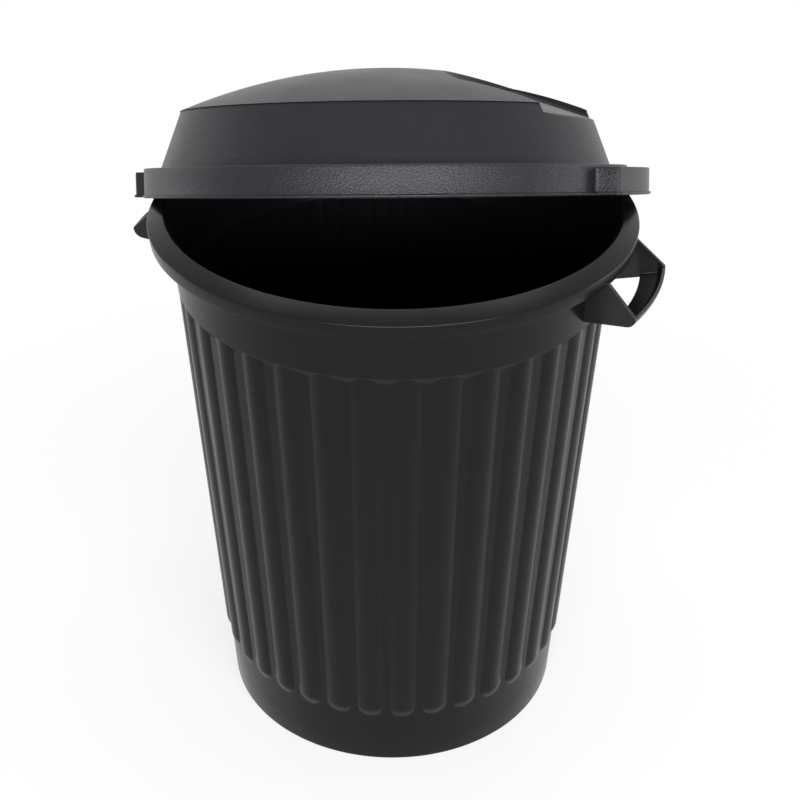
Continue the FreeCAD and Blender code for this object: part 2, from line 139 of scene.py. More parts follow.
def steps(count: int, start: float = 0.0, end: float = 1.0) -> list[float]:
    """Divide a stretch evenly.

    Args:
        count: Number of parts.
        start: First value.
        end: Last value.

    Returns:
        The count + 1 values, ends included.
    """
    return [blend(start, end, index / count) for index in range(count + 1)]


def solve(rising: Callable[[float], float], low: float, high: float) -> float:
    """Find where a rising function passes zero, by halving.

    Args:
        rising: The function.
        low: A value below the root.
        high: A value above it.

    Returns:
        The root.
    """
    for _ in range(HALVINGS):
        middle = (low + high) / 2
        if rising(middle) > 0:
            high = middle
        else:
            low = middle
    return (low + high) / 2


def arc_at(before: Vector, corner: Vector, after: Vector, reach: float, count: int) -> list[Vector]:
    """Round one corner of a line with a true arc.

    Args:
        before: The point before the corner.
        corner: The corner.
        after: The point after it.
        reach: How far the arc's two ends lie from the corner.
        count: Number of parts of the arc.

    Returns:
        The arc's count + 1 points.
    """
    back = (before - corner).normalized()
    ahead = (after - corner).normalized()
    turn = math.pi - back.angle(ahead)
    centre = corner + (back + ahead).normalized() * reach / math.sin(turn / 2)
    start = corner + back * reach - centre
    end = corner + ahead * reach - centre
    spots = []
    for share in steps(count):
        mixed = start * math.sin((1 - share) * turn) + end * math.sin(share * turn)
        spots.append(centre + mixed / math.sin(turn))
    return spots


def rounded(corners: list[Corner], arc_step: float = 15.0) -> list[Spot]:
    """Turn an open outline with corner radii into points, with each round corner as an arc.

    Args:
        corners: Outline corners as (radius from the axis, height, corner radius).
        arc_step: Largest turn between two points of an arc, in degrees.

    Returns:
        The outline's points.
    """
    spots: list[Spot] = [tuple(corners[0][:2])]
    for before, corner, after in zip(corners, corners[1:], corners[2:]):
        here, back, ahead = Vector(corner[:2]), Vector(before[:2]), Vector(after[:2])
        turn = math.pi - (back - here).angle(ahead - here)
        if corner[2] <= 0 or turn < math.radians(LEAST_TURN):
            spots.append(tuple(corner[:2]))
            continue
        room = min((back - here).length * (SHARED_ROOM if before[2] else OWN_ROOM),
                   (ahead - here).length * (SHARED_ROOM if after[2] else OWN_ROOM))
        reach = min(corner[2] * math.tan(turn / 2), room)
        count = max(2, math.ceil(math.degrees(turn) / arc_step))
        arc = arc_at(back.to_3d(), here.to_3d(), ahead.to_3d(), reach, count)
        spots += [(spot.x, spot.y) for spot in arc]
    spots.append(tuple(corners[-1][:2]))
    return spots


class MeshBuilder:
    """Collects grids of points in millimetres and welds them into one mesh object."""

    def __init__(self) -> None:
        """Start with no points and no faces."""
        self.points: list[Point] = []
        self.faces: list[list[int]] = []

    def add_grid(self, rows: list[list[Point]]) -> None:
        """Join rows of points with four-sided faces.

        Args:
            rows: Rows of equal length.
        """
        base = len(self.points)
        width = len(rows[0])
        for row in rows:
            self.points.extend(row)
        for line in range(len(rows) - 1):
            for column in range(width - 1):
                corner = base + line * width + column
                self.faces.append([corner, corner + 1, corner + width + 1, corner + width])

    def add_face(self, points: list[Point]) -> None:
        """Add one face.

        Args:
            points: Its corners in order, any number of them.
        """
        base = len(self.points)
        self.points.extend(points)
        self.faces.append(list(range(base, base + len(points))))

    def copies(self, moves: list[Matrix]) -> "MeshBuilder":
        """Copy everything once for each move.

        Args:
            moves: Matrices for the copies, mirrors included.

        Returns:
            A new builder that holds all the copies.
        """
        whole = MeshBuilder()
        for move in moves:
            base = len(whole.points)
            whole.points.extend(tuple(move @ Vector(point)) for point in self.points)
            whole.faces.extend([base + index for index in face] for face in self.faces)
        return whole

    def to_object(self, name: str, place: Matrix, sharp: float) -> bpy.types.Object:
        """Weld the points and make the mesh object, smooth except at sharp edges.

        Args:
            name: Name of the object.
            place: Matrix from the builder's frame to the row frame, both in millimetres.
            sharp: Edges that turn by more than this are sharp, in degrees.

        Returns:
            The new object, linked to the scene.
        """
        shape = bmesh.new()
        corners = [shape.verts.new(point) for point in self.points]
        for face in self.faces:
            shape.faces.new([corners[index] for index in face])
        bmesh.ops.remove_doubles(shape, verts=shape.verts, dist=WELD)
        bmesh.ops.dissolve_degenerate(shape, edges=shape.edges, dist=WELD)
        bmesh.ops.recalc_face_normals(shape, faces=shape.faces)
        # An open shell's faces may all look inwards, and then its highest one looks down
        top = max(shape.faces, key=lambda face: face.calc_center_median().z)
        if top.normal.z < 0:
            bmesh.ops.reverse_faces(shape, faces=shape.faces)
        shape.transform(Matrix.Scale(MM, 4) @ place)
        mesh = bpy.data.meshes.new(name)
        shape.to_mesh(mesh)
        shape.free()
        mesh.polygons.foreach_set("use_smooth", [True] * len(mesh.polygons))
        mesh.set_sharp_from_angle(angle=math.radians(sharp))
        piece = bpy.data.objects.new(name, mesh)
        bpy.context.scene.collection.objects.link(piece)
        return piece


def soften(piece: bpy.types.Object, width: float, angle: float) -> None:
    """Round a piece's sharp edges a little, as a mould does.

    Args:
        piece: The object.
        width: Width of the rounding, in millimetres.
        angle: Edges that turn by more than this are rounded, in degrees.
    """
    bevel = piece.modifiers.new("moulded_edges", "BEVEL")
    bevel.width = width * MM
    bevel.segments = 3
    bevel.limit_method = "ANGLE"
    bevel.angle_limit = math.radians(angle)
    bevel.use_clamp_overlap = False
    bevel.harden_normals = True


def linear(code: str) -> tuple[float, float, float, float]:
    """Turn an sRGB hex colour into the linear colour that a shader takes.

    Args:
        code: The colour, such as "#1c1d1f".

    Returns:
        Linear red, green and blue, and an alpha of 1.
    """
    parts = [int(code[index:index + 2], 16) / 255 for index in (1, 3, 5)]
    light = [part / 12.92 if part <= 0.04045 else ((part + 0.055) / 1.055) ** 2.4 for part in parts]
    return (light[0], light[1], light[2], 1.0)


def scale_for(size: float) -> float:
    """Scale at which a texture's pattern measures about so many millimetres across."""
    return 1.0 / (size * MM)


def add_node(tree: bpy.types.NodeTree, kind: str, inputs: dict[str | int, object],
             **settings: object) -> bpy.types.Node:
    """Add one shader node, set its options and fill or link its inputs.

    Args:
        tree: The node tree.
        kind: The node's type name, without "ShaderNode".
        inputs: Input name or number to a value, or to a socket that feeds it.
        settings: The node's own options.

    Returns:
        The new node.
    """
    node = tree.nodes.new(f"ShaderNode{kind}")
    for name, value in settings.items():
        setattr(node, name, value)
    for name, value in inputs.items():
        if isinstance(value, bpy.types.NodeSocket):
            tree.links.new(value, node.inputs[name])
        else:
            node.inputs[name].default_value = value
    return node


# Polypropylene's refractive index
PLASTIC_IOR = 1.49
# Size of the patches that handling leaves and of the breaks in the painted edge highlight, in
# millimetres
PATCH_SIZE = 90.0
BREAK_SIZE = 6.0
# Values between which a noise texture mostly lies
NOISE_LOW = 0.3
NOISE_HIGH = 0.7
# Pointiness at which the painted edge highlight begins and at which it is fullest, and how strong
# it is
EDGE_HIGHLIGHT_START = 0.52
EDGE_HIGHLIGHT_FULL = 0.62
EDGE_HIGHLIGHT_MOST = 0.5


@dataclass(frozen=True)
class MouldedPlastic:
    """A plastic as it leaves its mould: colours, gloss, and the mould's relief in millimetres.

    The grain, the pits and the slow wave each have a size across and a depth.
    """

    name: str
    colour: str
    # Colour of the painted highlight along sharp edges
    painted_edge_highlight: str
    roughness: float
    roughness_spread: float
    specular: float
    grain: float
    grain_depth: float
    pits: float
    pit_depth: float
    wave: float
    wave_depth: float

    def build(self) -> bpy.types.Material:
        """Make the material.

        Returns:
            The new material.
        """
        material = bpy.data.materials.new(self.name)
        material.use_nodes = True
        tree = material.node_tree
        tree.nodes.clear()
        place = add_node(tree, "TexCoord", {}).outputs["Object"]

        # Handling leaves broad, faint patches that are a little duller than the rest
        patches = add_node(tree, "TexNoise", {
            "Vector": place, "Scale": scale_for(PATCH_SIZE), "Detail": 5.0})
        rough = add_node(tree, "MapRange", {
            "Value": patches.outputs[0], "From Min": NOISE_LOW, "From Max": NOISE_HIGH,
            "To Min": self.roughness - self.roughness_spread,
            "To Max": self.roughness + self.roughness_spread})

        # Painted highlight: sharp outer edges are drawn paler, in a broken line
        edges = add_node(tree, "NewGeometry", {}).outputs["Pointiness"]
        edge_highlight_ramp = add_node(tree, "MapRange", {
            "Value": edges, "From Min": EDGE_HIGHLIGHT_START, "From Max": EDGE_HIGHLIGHT_FULL,
            "To Min": 0.0, "To Max": EDGE_HIGHLIGHT_MOST})
        breaks = add_node(tree, "TexNoise", {
            "Vector": place, "Scale": scale_for(BREAK_SIZE), "Detail": 3.0})
        painted_edge_highlight = add_node(tree, "Math", {0: edge_highlight_ramp.outputs[0], 1: breaks.outputs[0]},
                          operation="MULTIPLY")
        colour = add_node(tree, "Mix", {
            0: painted_edge_highlight.outputs[0], 6: linear(self.colour), 7: linear(self.painted_edge_highlight)},
            data_type="RGBA")

        # Height in metres: a slow wave from cooling, the mould's grain, and fine pits
        wave = add_node(tree, "TexNoise", {
            "Vector": place, "Scale": scale_for(self.wave), "Detail": 1.0})
        grain = add_node(tree, "TexNoise", {
            "Vector": place, "Scale": scale_for(self.grain), "Detail": 3.0, "Roughness": 0.6})
        pits = add_node(tree, "TexVoronoi", {"Vector": place, "Scale": scale_for(self.pits)})
        swell = add_node(tree, "Bump", {
            "Height": wave.outputs[0], "Distance": self.wave_depth * MM, "Strength": 1.0})
        skin = add_node(tree, "Bump", {
            "Height": grain.outputs[0], "Distance": self.grain_depth * MM, "Strength": 1.0,
            "Normal": swell.outputs[0]})
        stipple = add_node(tree, "Bump", {
            "Height": pits.outputs["Distance"], "Distance": self.pit_depth * MM, "Strength": 1.0,
            "Normal": skin.outputs[0]})

        shader = add_node(tree, "BsdfPrincipled", {
            "Base Color": colour.outputs[2], "Roughness": rough.outputs[0],
            "Specular IOR Level": self.specular, "IOR": PLASTIC_IOR, "Normal": stipple.outputs[0]})
        add_node(tree, "OutputMaterial", {"Surface": shader.outputs[0]})
        return material


# Polypropylene shot into a lightly blasted steel mould: black, with a soft satin sheen. Blasting
# leaves marks of about 0.1 mm, drawn coarser here so that they still break up the sheen
TUB_PLASTIC = MouldedPlastic(
    name="black_polypropylene_satin_moulded", colour="#0c0c0e", painted_edge_highlight="#2c2d30", roughness=0.27,
    roughness_spread=0.04, specular=0.14, grain=0.9, grain_depth=0.012, pits=2.4, pit_depth=0.004,
    wave=46.0, wave_depth=0.25)

# The same shot, where the mould is polished for the hand: sharper reflections, almost no grain
HANDLE_PLASTIC = MouldedPlastic(
    name="black_polypropylene_polished_grip", colour="#101012", painted_edge_highlight="#2e2f32", roughness=0.24,
    roughness_spread=0.04, specular=0.3, grain=1.4, grain_depth=0.008, pits=3.0, pit_depth=0.002,
    wave=22.0, wave_depth=0.1)

# Polypropylene from a spark-eroded mould: a sandy stipple that scatters light and looks greyer.
# Its real grain, about 0.3 mm across, would be lost at this distance, so it is drawn coarser
LID_PLASTIC = MouldedPlastic(
    name="charcoal_polypropylene_spark_eroded", colour="#131419", painted_edge_highlight="#3a3c41", roughness=0.36,
    roughness_spread=0.04, specular=0.27, grain=1.5, grain_depth=0.4, pits=1.8, pit_depth=0.2,
    wave=60.0, wave_depth=0.2)


@dataclass(frozen=True)
class TubShape:
    """Sizes of the tub, in millimetres and degrees, as in the solids."""

    height: float = 595.4
    base_radius: float = 190.0
    base_edge: float = 5.0
    draft: float = 3.3
    wall: float = 3.0
    floor: float = 4.0
    floor_corner: float = 9.0
    rib_count: int = 35
    rib_phase: float = -3.3
    rib_depth: float = 4.0
    rib_width: float = 28.0
    rib_foot: float = 69.0
    relief_share: float = 0.64
    relief_depth: float = 2.0
    collar_depth: float = 78.6
    collar_step: float = 8.0
    collar_proud: float = 0.35
    mouth_radius: float = 232.0
    mouth_lead: float = 10.4
    rim_radius: float = 250.0
    rim_drop: float = 9.0
    lip_height: float = 14.3
    lip_taper: float = 1.8

    @property
    def collar_z(self) -> float:
        """Height of the collar's lower edge."""
        return self.height - self.collar_depth

    @property
    def step_z(self) -> float:
        """Height where the slope under the collar starts."""
        return self.collar_z - self.collar_step

    @property
    def lip_z(self) -> float:
        """Height of the lip's lower edge."""
        return self.height - self.rim_drop - self.lip_height

    @property
    def foot_z(self) -> float:
        """Height of the middle of a rib's round end."""
        return self.rib_foot + self.rib_width / 2

    @property
    def sector(self) -> float:
        """Half the angle of one rib and its valley, in radians."""
        return math.pi / self.rib_count

    def wall_radius(self, z: float) -> float:
        """Outside radius of the wall between the ribs."""
        return self.base_radius + z * math.tan(math.radians(self.draft))

    def collar_radius(self, z: float) -> float:
        """Outside radius of the collar."""
        return self.wall_radius(z) + self.rib_depth + self.collar_proud


# Shares of a rib's half width at which its mesh has lines; past 1 they cross the crease's fillet
RIB_SHARES = (0.0, 0.16, 0.32, 0.48, 0.64, 0.7, 0.8, 0.9, 0.96, 0.98, 1.0, 1.02, 1.0417)
CREASE_SHARE = 0.96
# Rib share and valley share of each line from a rib's middle to the middle of the valley
HALF_COLUMNS = [(share, 0.0) for share in RIB_SHARES]
HALF_COLUMNS += [(RIB_SHARES[-1], valley) for valley in (0.5, 1.0)]
# Parts of the mesh up a rib, up the relief behind it, and round its foot at the sides and below
RIB_ROWS = 7
RELIEF_ROWS = 8
FOOT_SIDES = 4
FOOT_BOTTOMS = 10
# Drop from the ribs' ends to the level ring below them, and height over which the relief fades
RING_DROP = 9.0
RELIEF_FADE = 3.0
# Edges of the tub that turn by more than this, in degrees, are sharp
TUB_SHARP = 24.0


@dataclass
class Tub:
    """The ribbed tub: one moulding of wall, collar, rim, lip and floor."""

    shape: TubShape
    material: bpy.types.Material

    def rib_height(self, share: float) -> float:
        """Height of a rib above the wall.

        Args:
            share: Distance from the rib's middle line as a share of its half width.

        Returns:
            The height, in millimetres, with a small fillet at the crease.
        """
        share = abs(share)
        if share <= CREASE_SHARE:
            return self.shape.rib_depth * (1 - share ** 2)
        end = CREASE_SHARE + (1 - CREASE_SHARE ** 2) / CREASE_SHARE
        start = self.shape.rib_depth * (1 - CREASE_SHARE ** 2)
        return start * max(0.0, (end - share) / (end - CREASE_SHARE)) ** 2

    def column_place(self, column: Spot, z: float) -> Spot:
        """Azimuth and outside radius of a mesh line at a height.

        Args:
            column: (rib share, valley share); the valley share is 0 on the rib.
            z: Height, in millimetres.

        Returns:
            Azimuth from the rib's middle, in radians, and radius, in millimetres.
        """
        radius = self.shape.wall_radius(z)
        azimuth = column[0] * self.shape.rib_width / 2 / radius
        side = math.copysign(self.shape.sector, column[0])
        return blend(azimuth, side, column[1]), radius + self.rib_height(column[0])

    def columns(self) -> list[Spot]:
        """Mesh lines over one sector.

        Returns:
            Rib share and valley share of each, from the sector's left edge to its right edge.
        """
        left = [(-share, valley) for share, valley in reversed(HALF_COLUMNS[1:])]
        return left + HALF_COLUMNS

    def ribbed_rows(self) -> list[list[Point]]:
        """Rows of the straight part of the ribbed wall, up to the slope under the collar.

        Returns:
            Rows of points from the middle of the ribs' round ends upwards.
        """
        shape = self.shape
        rows = []
        for share in steps(RIB_ROWS):
            row = []
            for column in self.columns():
                rise = shape.collar_step * self.rib_height(column[0])
                top = shape.step_z + rise / (shape.rib_depth + shape.collar_proud)
                z = blend(shape.foot_z, top, share)
                azimuth, radius = self.column_place(column, z)
                row.append(polar(radius, azimuth, z))
            rows.append(row)
        return rows

    def foot_rows(self, low: float) -> list[list[Point]]:
        """Rows that follow the ribs' U-shaped ends, out to a level ring below them.

        Args:
            low: Height of that ring.

        Returns:
            Rows from the middle of the round end outwards.
        """
        shape = self.shape
        reach = shape.rib_width / 2
        edge = [(-shape.sector, z) for z in steps(FOOT_SIDES, shape.foot_z, low)]
        edge += [(azimuth, low) for azimuth in steps(FOOT_BOTTOMS, -shape.sector, shape.sector)[1:]]
        edge += [(shape.sector, z) for z in steps(FOOT_SIDES, low, shape.foot_z)[1:]]
        angles = steps(len(edge) - 1, math.pi, 2 * math.pi)
        rows = []
        for share, valley in HALF_COLUMNS:
            row = []
            for angle, (edge_azimuth, edge_z) in zip(angles, edge):
                z = shape.foot_z + reach * share * math.sin(angle)
                azimuth = reach * share * math.cos(angle) / shape.wall_radius(z)
                z = blend(z, edge_z, valley)
                azimuth = blend(azimuth, edge_azimuth, valley)
                row.append(polar(shape.wall_radius(z) + self.rib_height(share), azimuth, z))
            rows.append(row)
        return rows

    def outside_outline(self) -> list[Spot]:
        """Outline from the collar's lower edge over the rim to the inside of the mouth.

        Returns:
            Points as radius and height.
        """
        shape = self.shape
        slope = shape.rim_drop / (shape.rim_radius - shape.mouth_radius)
        skin = shape.wall * math.hypot(1, slope)
        half = shape.wall / 2
        under = shape.rim_radius - shape.wall
        lead_z = shape.height - shape.mouth_lead
        return rounded([
            (shape.collar_radius(shape.collar_z), shape.collar_z, 0.0),
            (shape.collar_radius(shape.collar_z + 1), shape.collar_z + 1, 0.0),
            (shape.collar_radius(lead_z), lead_z, 4.0),
            (shape.mouth_radius + half, shape.height - slope * half - skin, 2.0),
            (under, shape.height - (under - shape.mouth_radius) * slope - skin, 1.2),
            (shape.rim_radius - shape.lip_taper - shape.wall, shape.lip_z, 0.7),
            (shape.rim_radius - shape.lip_taper, shape.lip_z, 0.9),
            (shape.rim_radius, shape.height - shape.rim_drop, 2.0),
            (shape.mouth_radius, shape.height, 2.2),
            (shape.collar_radius(lead_z) - shape.wall, lead_z, 16.0),
            (shape.collar_radius(shape.collar_z) - shape.wall, shape.collar_z + half, 3.0),
            (shape.wall_radius(shape.step_z) - shape.wall, shape.step_z + half, 3.0),
            (shape.wall_radius(shape.step_z - 1) - shape.wall, shape.step_z, 0.0),
        ])

    def inside_rows(self) -> list[list[Point]]:
        """Rows down the inside, with the shallow relief behind each rib, and over the floor.

        Returns:
            Rows of points from under the collar to the middle of the floor.
        """
        shape = self.shape
        low = shape.floor + shape.floor_corner
        full_z = shape.step_z - RELIEF_FADE
        levels = [(shape.step_z, 0.0), (full_z, 1.0)]
        levels += [(z, 1.0) for z in steps(RELIEF_ROWS, full_z, shape.foot_z + RELIEF_FADE)[1:]]
        levels += [(shape.foot_z, 0.0), (low + shape.wall, 0.0)]
        outline = [(shape.wall_radius(z) - shape.wall, z, deep) for z, deep in levels]
        corner = rounded([
            (shape.wall_radius(low + shape.wall) - shape.wall, low + shape.wall, 0.0),
            (shape.wall_radius(shape.floor) - shape.wall, shape.floor, shape.floor_corner * 2),
            (shape.base_radius / 2, shape.floor, 0.0),
            (0.0, shape.floor, 0.0),
        ])
        outline += [(radius, z, 0.0) for radius, z in corner[1:]]
        rows = []
        for radius, z, deep in outline:
            row = []
            for column in self.columns():
                relief = shape.relief_depth * deep if abs(column[0]) <= shape.relief_share else 0.0
                azimuth = self.column_place(column, shape.collar_z)[0]
                row.append(polar(radius + relief, azimuth, z))
            rows.append(row)
        return rows

    def build(self) -> bpy.types.Object:
        """Make the tub as one sector, repeated all round, and dress it.

        Returns:
            The new object.
        """
        shape = self.shape
        part = MeshBuilder()
        ribbed = self.ribbed_rows()
        part.add_grid(ribbed)
        ring_z = shape.rib_foot - RING_DROP
        part.add_grid(self.foot_rows(ring_z))
        azimuths = [self.column_place(column, shape.collar_z)[0] for column in self.columns()]
        over = swept(self.outside_outline(), azimuths)
        part.add_grid([ribbed[-1]] + over)
        part.add_grid([over[-1]] + self.inside_rows())
        below = rounded([
            (shape.wall_radius(ring_z), ring_z, 0.0),
            (shape.wall_radius(ring_z / 2), ring_z / 2, 0.0),
            (shape.base_radius, 0.0, shape.base_edge),
            (shape.base_radius / 2, 0.0, 0.0),
            (0.0, 0.0, 0.0),
        ])
        part.add_grid(swept(below, steps(FOOT_BOTTOMS, -shape.sector, shape.sector)))
        first = math.radians(shape.rib_phase)
        turns = [Matrix.Rotation(first + 2 * shape.sector * rib, 4, "Z")
                 for rib in range(shape.rib_count)]
        tub = part.copies(turns).to_object("tub_moulding", Matrix.Identity(4), TUB_SHARP)
        tub.data.materials.append(self.material)
        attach(tub, "bin")
        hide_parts("bin_tub")
        return tub


@dataclass(frozen=True)
class HandleShape:
    """Sizes of a handle, in millimetres and degrees, as in the solids."""

    proud: float = 29.48
    spread: float = 12.6
    wall: float = 3.5
    bottom: float = 70.4
    rise: float = 10.0
    corner: float = 9.4
    land: float = 0.6
    finger_gap: float = 30.0


# Parts of the mesh along a grip, and the largest turn between two points of its bend, in degrees
GRIP_COLUMNS = 20
GRIP_ARC = 9.0
# Rounding of a handle's edges, in millimetres, and the turn that calls for it, in degrees
HANDLE_EDGE = 0.7
HANDLE_SHARP = 30.0


@dataclass
class Handle:
    """One handle: two radial arms under the rim, joined by a curved grip with an inward flange."""

    side: Side
    shape: HandleShape
    tub: TubShape
    material: bpy.types.Material

    def outlines(self) -> tuple[list[Spot], list[Spot], list[Spot]]:
        """Sections of the handle in a plane through the bin's axis.

        Returns:
            The grip's outside, the grip's inside, and the rest of an arm's edge, each as points of
            radius and height. The last one runs from the grip's top round to the flange's foot.
        """
        shape, tub = self.shape, self.tub
        bottom = tub.height - shape.bottom
        reach = tub.rim_radius + shape.proud
        tip = bottom + shape.rise + shape.corner + shape.land
        inner = tub.collar_radius(bottom) + shape.finger_gap
        run = reach - tub.collar_radius(bottom)
        line = math.hypot(run, shape.rise)
        bend = shape.corner * run / (line - shape.rise)
        skin = shape.wall * line / run

        def under(radius: float) -> float:
            """Height of the handle's underside at a radius."""
            return bottom + shape.rise * (radius - tub.collar_radius(bottom)) / run

        outside = rounded([
            (inner, under(inner), 0.0),
            (reach, under(reach), bend),
            (reach, tip, 0.0)], GRIP_ARC)
        inside = rounded([
            (inner, under(inner) + skin, 0.0),
            (reach - shape.wall, under(reach - shape.wall) + skin, bend - shape.wall),
            (reach - shape.wall, tip, 0.0)], GRIP_ARC)
        # The arm's other edge lies in the middle of the tub's wall, so that nothing gapes there
        lead_z = tub.height - tub.mouth_lead
        slope = tub.rim_drop / (tub.rim_radius - tub.mouth_radius)
        depth = tub.wall * math.hypot(1, slope) / 2
        half = tub.wall / 2
        rim = tub.rim_radius - half
        foot = tub.collar_radius(bottom) - half
        arm = [
            (reach, tip),
            (tub.rim_radius - tub.lip_taper - half, tub.lip_z + tub.wall),
            (rim, tub.height - (rim - tub.mouth_radius) * slope - depth),
            (tub.mouth_radius + half, tub.height - half * slope - depth),
            (tub.collar_radius(lead_z) - half, lead_z),
            (foot, under(foot)),
            (inner, under(inner)),
        ]
        return outside, inside, arm

    def build(self) -> bpy.types.Object:
        """Make the handle's mesh and dress it.

        Returns:
            The new object.
        """
        outside, inside, arm = self.outlines()
        half = math.asin(self.shape.wall / 2 / (self.tub.rim_radius + self.shape.proud))
        spread = math.radians(self.shape.spread)
        between = steps(GRIP_COLUMNS, half - spread, spread - half)
        around = [-spread - half] + between + [spread + half]
        part = MeshBuilder()
        part.add_grid(swept(outside, around))
        part.add_grid(swept(inside, between))
        for end in (0, -1):
            part.add_grid(swept([outside[end], inside[end]], between))
        for sign in (-1, 1):
            outer, inner = sign * (spread + half), sign * (spread - half)
            part.add_grid([[polar(radius, outer, z) for radius, z in arm],
                           [polar(radius, inner, z) for radius, z in arm]])
            part.add_face([polar(radius, outer, z) for radius, z in outside + arm[1:-1]])
            part.add_face([polar(radius, inner, z) for radius, z in arm + inside])
        place = Matrix.Rotation(self.side.turn, 4, "Z")
        handle = part.to_object(f"{self.side.node}_moulding", place, HANDLE_SHARP)
        soften(handle, HANDLE_EDGE, HANDLE_SHARP)
        handle.data.materials.append(self.material)
        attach(handle, "bin")
        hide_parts(self.side.node)
        return handle


# Parts of the lid's mesh: from its middle to a hollow, along a hollow, how many of those lie on its
# end wall, down the cone, over the shoulder's edge, and round the dome between the hollows
CENTRE_ROWS = 8
TOP_ROWS = 26
END_ROWS = 3
CONE_ROWS = 8
EDGE_ROWS = 4
DOME_COLUMNS = 34
# Shares of a hollow's half width, and of its corner's turn, at which the mesh has lines
FLOOR_SHARES = (0.0, 0.16, 0.32, 0.46, 0.58, 0.74, 0.86, 0.95, 1.0)
CORNER_SHARES = (0.2, 0.4, 0.6, 0.8, 1.0)
# Largest turns between two points of the small edges and of a bay's corner and fillet, in degrees
EDGE_ARC = 22.5
BAY_ARC = 18.0
# How far a bay's fillet runs along the skirt, in radii of the fillet, and how far before its side
# a bay's outer face ends, in radii of the corner
FILLET_RUN = 1.6
CORNER_RUN = 3.0
# A search starts at this share of a size that lies well inside the place it looks for
SEARCH_SHARE = 0.8
# Azimuths that differ by less than this, in radians, are the same
SAME_TURN = 1e-6
# Edges of the lid that turn by more than this, in degrees, are sharp
LID_SHARP = 20.0


@dataclass(frozen=True)
class LidShape:
    """Sizes of the lid in its own frame, in millimetres and degrees.

    They follow the solids' own. The cone and the dome are a little lower, so that the finer mesh
    stays inside the solids' box. The hollows are cut closer to the real lid: their end wall meets
    the floor at hollow_end on the handles' axis, and hollow_bow further out at their sides.
    """

    skirt_radius: float = 257.85
    skirt_height: float = 30.1
    bead_proud: float = 1.9
    bead_height: float = 2.2
    edge: float = 1.5
    wall: float = 3.0
    ledge: float = 18.0
    cone_height: float = 59.58
    cone_draw: float = 22.5
    dome_rise: float = 43.95
    shoulder_edge: float = 2.0
    bay_depth: float = 23.0
    bay_spread: float = 13.7
    bay_drop: float = 3.0
    bay_corner: float = 2.2
    bay_fillet: float = 3.0
    hollow_width: float = 179.0
    hollow_start: float = 46.0
    hollow_end: float = 74.0
    hollow_bow: float = 42.0
    hollow_depth: float = 12.5
    hollow_corner: float = 3.5
    hollow_crown: float = 4.8
    end_slope: float = 2.2
    lean_angle: float = 23.3
    lean_roll: float = -0.7
    lean_turn: float = 21.7

    @property
    def cone_foot(self) -> float:
        """Outside radius of the cone's foot."""
        return self.skirt_radius - self.ledge

    @property
    def cone_head(self) -> float:
        """Outside radius of the shoulder."""
        return self.cone_foot - self.cone_draw

    @property
    def shoulder_z(self) -> float:
        """Height of the shoulder."""
        return self.skirt_height + self.cone_height

    @property
    def dome_radius(self) -> float:
        """Radius of the dome's sphere."""
        return (self.cone_head ** 2 + self.dome_rise ** 2) / (2 * self.dome_rise)

    @property
    def hollow_inner(self) -> float:
        """Distance from the handles' axis at which a hollow's round corner starts."""
        return self.hollow_width / 2 - self.hollow_corner

    def dome(self, reach: float) -> float:
        """Height of the dome at a distance from the lid's axis."""
        centre_z = self.shoulder_z + self.dome_rise - self.dome_radius
        return centre_z + math.sqrt(self.dome_radius ** 2 - reach ** 2)

    def cone(self, z: float) -> float:
        """Radius of the cone wall at a height."""
        return self.cone_foot - (z - self.skirt_height) * self.cone_draw / self.cone_height

    def hollow_foot(self, y: float) -> float:
        """Distance along the handles' axis at which the end wall meets the floor."""
        return self.hollow_end + self.hollow_bow * (2 * y / self.hollow_width) ** 2

    def hollow(self, x: float, y: float) -> float:
        """Height of a hollow's sloped floor, with the steep wall at its inner end.

        Args:
            x: Distance along the handles' axis.
            y: Distance from that axis.

        Returns:
            The height, in millimetres.
        """
        end_x = self.cone_head + self.hollow_depth * self.cone_draw / self.cone_height
        start_z = self.dome(self.hollow_start)
        fall = start_z - (self.shoulder_z - self.hollow_depth)
        foot = self.hollow_foot(y)
        along = max(0.0, (x - foot) / (end_x - foot))
        sunk = self.hollow_crown * (2 * y / self.hollow_width) ** 2 * along ** 2
        floor = start_z - (x - self.hollow_start) * fall / (end_x - self.hollow_start) - sunk
        return floor + max(0.0, foot - x) * self.end_slope

    def bay_side(self, radius: float) -> float:
        """Azimuth of a bay's side, which runs along the handles' axis.

        Args:
            radius: Where on the side, as a distance from the lid's axis.

        Returns:
            The azimuth, in radians.
        """
        half = (self.skirt_radius + self.bay_depth) * math.sin(math.radians(self.bay_spread))
        return math.asin(half / radius)

    @property
    def bay_end(self) -> float:
        """Azimuth at which a bay's side has run out into the skirt, in radians."""
        return self.bay_side(self.skirt_radius) + self.bay_fillet * FILLET_RUN / self.skirt_radius


class BaySpot(NamedTuple):
    """A place on the line round a bay, and where a millimetre outwards from it leads."""

    turn: float
    radius: float
    out: float
    around: float


